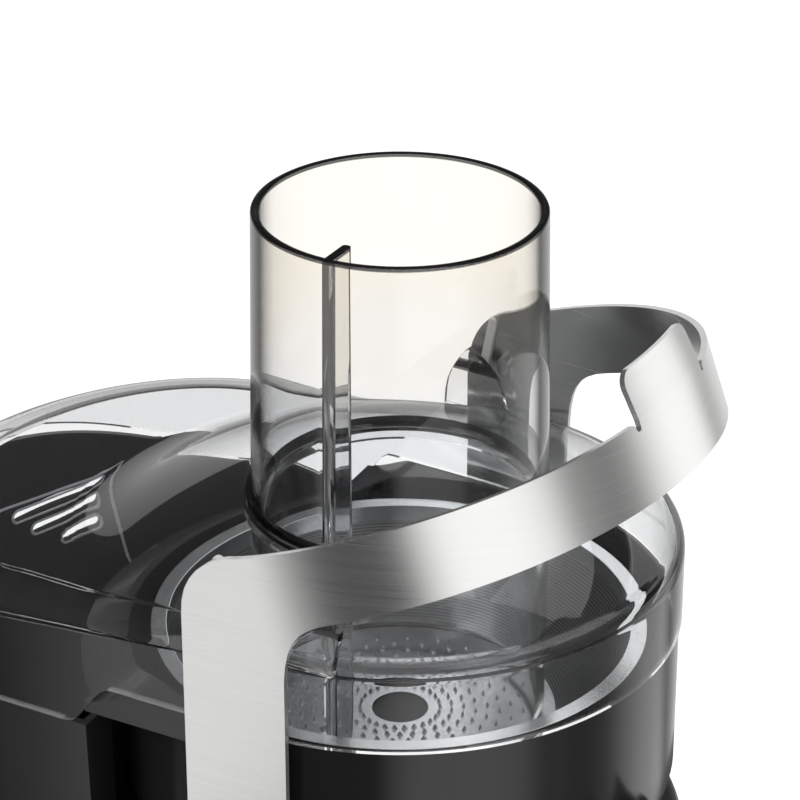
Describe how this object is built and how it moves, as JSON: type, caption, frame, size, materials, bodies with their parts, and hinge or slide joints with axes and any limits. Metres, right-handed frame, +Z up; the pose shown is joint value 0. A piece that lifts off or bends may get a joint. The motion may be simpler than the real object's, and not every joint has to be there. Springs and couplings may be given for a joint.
{
  "type": "centrifugal juicer",
  "caption": "Kitchen juicer with a wide clear feed tube, clear lid, steel filter basket, black juice bowl and pulp container, and a U-shaped brushed locking arm on a round motor base.",
  "frame": {"origin": "middle of the footprint box on the surface the feet stand on", "axes": "+Z up, +X towards the juice spout and the arm's grip, -X the pulp container, -Y the speed knob"},
  "size_m": [0.3, 0.208, 0.3755],
  "materials": {
    "clear_plastic": "clear, slightly grey, glossy",
    "gloss_black": "glossy black",
    "housing_black": "satin black",
    "matte_black": "matt black",
    "brushed_aluminium": "fine brushed along the band",
    "brushed_steel": "brushed",
    "basket_steel": "bright satin",
    "basket_mesh": "fine perforated",
    "black_rubber": "matt",
    "zinc_steel": "zinc plated",
    "bearing_steel": "ground",
    "core_steel": "laminated",
    "cast_alloy": "as cast",
    "copper": "enamelled copper",
    "bronze": "sintered",
    "carbon": "carbon",
    "brown_plastic": "moulded",
    "cream_plastic": "moulded",
    "board_green": "coated board",
    "part_blue": "sleeved",
    "part_yellow": "cast resin",
    "frosted_ring": "frosted"
  },
  "bodies": {
    "base": {"rubber_feet": "black_rubber", "base_plate": "matte_black", "base_screws": "zinc_steel", "motor_housing": "housing_black", "steel_band": "brushed_steel", "motor_frame": "cast_alloy", "frame_screws": "zinc_steel", "rubber_mounts": "black_rubber", "stator_core": "core_steel", "field_coils": "copper", "upper_bearing": "bearing_steel", "lower_bearing": "bearing_steel", "brush_holders": "brown_plastic", "carbon_brushes": "carbon", "shaft_seal": "black_rubber", "pivot_bushes": "bronze", "control_board": "board_green", "board_parts": "part_blue", "suppression_capacitor": "part_yellow", "switch_body": "matte_black", "indicator_ring": "frosted_ring", "cord_inlet": "matte_black", "safety_switch": "matte_black", "pin_spring": "zinc_steel"},
    "rotor": {"motor_shaft": "bearing_steel", "rotor_core": "core_steel", "rotor_winding": "copper", "commutator": "copper", "cooling_fan": "cream_plastic", "drive_coupling": "matte_black"},
    "arm": {"locking_arm": "brushed_aluminium", "pivot_pins": "zinc_steel", "pivot_caps": "housing_black", "latch_studs": "zinc_steel"},
    "bowl": {"juice_bowl": "gloss_black", "outlet_pins": "gloss_black"},
    "spout": {"drip_stop_spout": "gloss_black"},
    "basket": {"basket_rim": "basket_steel", "filter_mesh": "basket_mesh", "grater_disc": "basket_steel", "basket_hub": "matte_black"},
    "lid": {"clear_lid": "clear_plastic", "feed_tube": "clear_plastic"},
    "pulp_bin": {"pulp_container": "gloss_black"},
    "knob": {"speed_knob": "housing_black", "knob_cap": "brushed_steel", "knob_shaft": "zinc_steel"},
    "interlock_pin": {"safety_pin": "cream_plastic"}
  },
  "joints": [
    {"name": "rotor_spin", "type": "hinge", "parent": "base", "child": "rotor", "pos_m": [0.025, 0, 0.1], "axis": [0, 0, 1], "continuous": true},
    {"name": "arm_swing", "type": "hinge", "parent": "base", "child": "arm", "pos_m": [0.02125, 0, 0.15], "axis": [0, 1, 0], "range_deg": [0, 50]},
    {"name": "bowl_lift", "type": "slide", "parent": "base", "child": "bowl", "axis": [0, 0, 1], "range_m": [0, 0.025]},
    {"name": "basket_spin", "type": "hinge", "parent": "bowl", "child": "basket", "pos_m": [0.025, 0, 0.2], "axis": [0, 0, 1], "continuous": true},
    {"name": "lid_lift", "type": "slide", "parent": "bowl", "child": "lid", "axis": [0, 0, 1], "range_m": [0, 0.04]},
    {"name": "spout_tilt", "type": "hinge", "parent": "bowl", "child": "spout", "pos_m": [0.123, 0, 0.1772], "axis": [0, -1, 0], "range_deg": [0, 55]},
    {"name": "pulp_slide", "type": "slide", "parent": "base", "child": "pulp_bin", "axis": [-1, 0, 0], "range_m": [0, 0.12]},
    {"name": "knob_turn", "type": "hinge", "parent": "base", "child": "knob", "pos_m": [0.025, -0.09, 0.062], "axis": [0, 1, 0], "range_deg": [0, 90]},
    {"name": "interlock_press", "type": "slide", "parent": "base", "child": "interlock_pin", "axis": [0, 0, -1], "range_m": [0, 0.002], "stiffness_N_per_m": 300, "deforming": ["pin_spring"]}
  ],
  "couplings": [
    {"joint": "basket_spin", "follows": "rotor_spin", "ratio": 1}
  ]
}
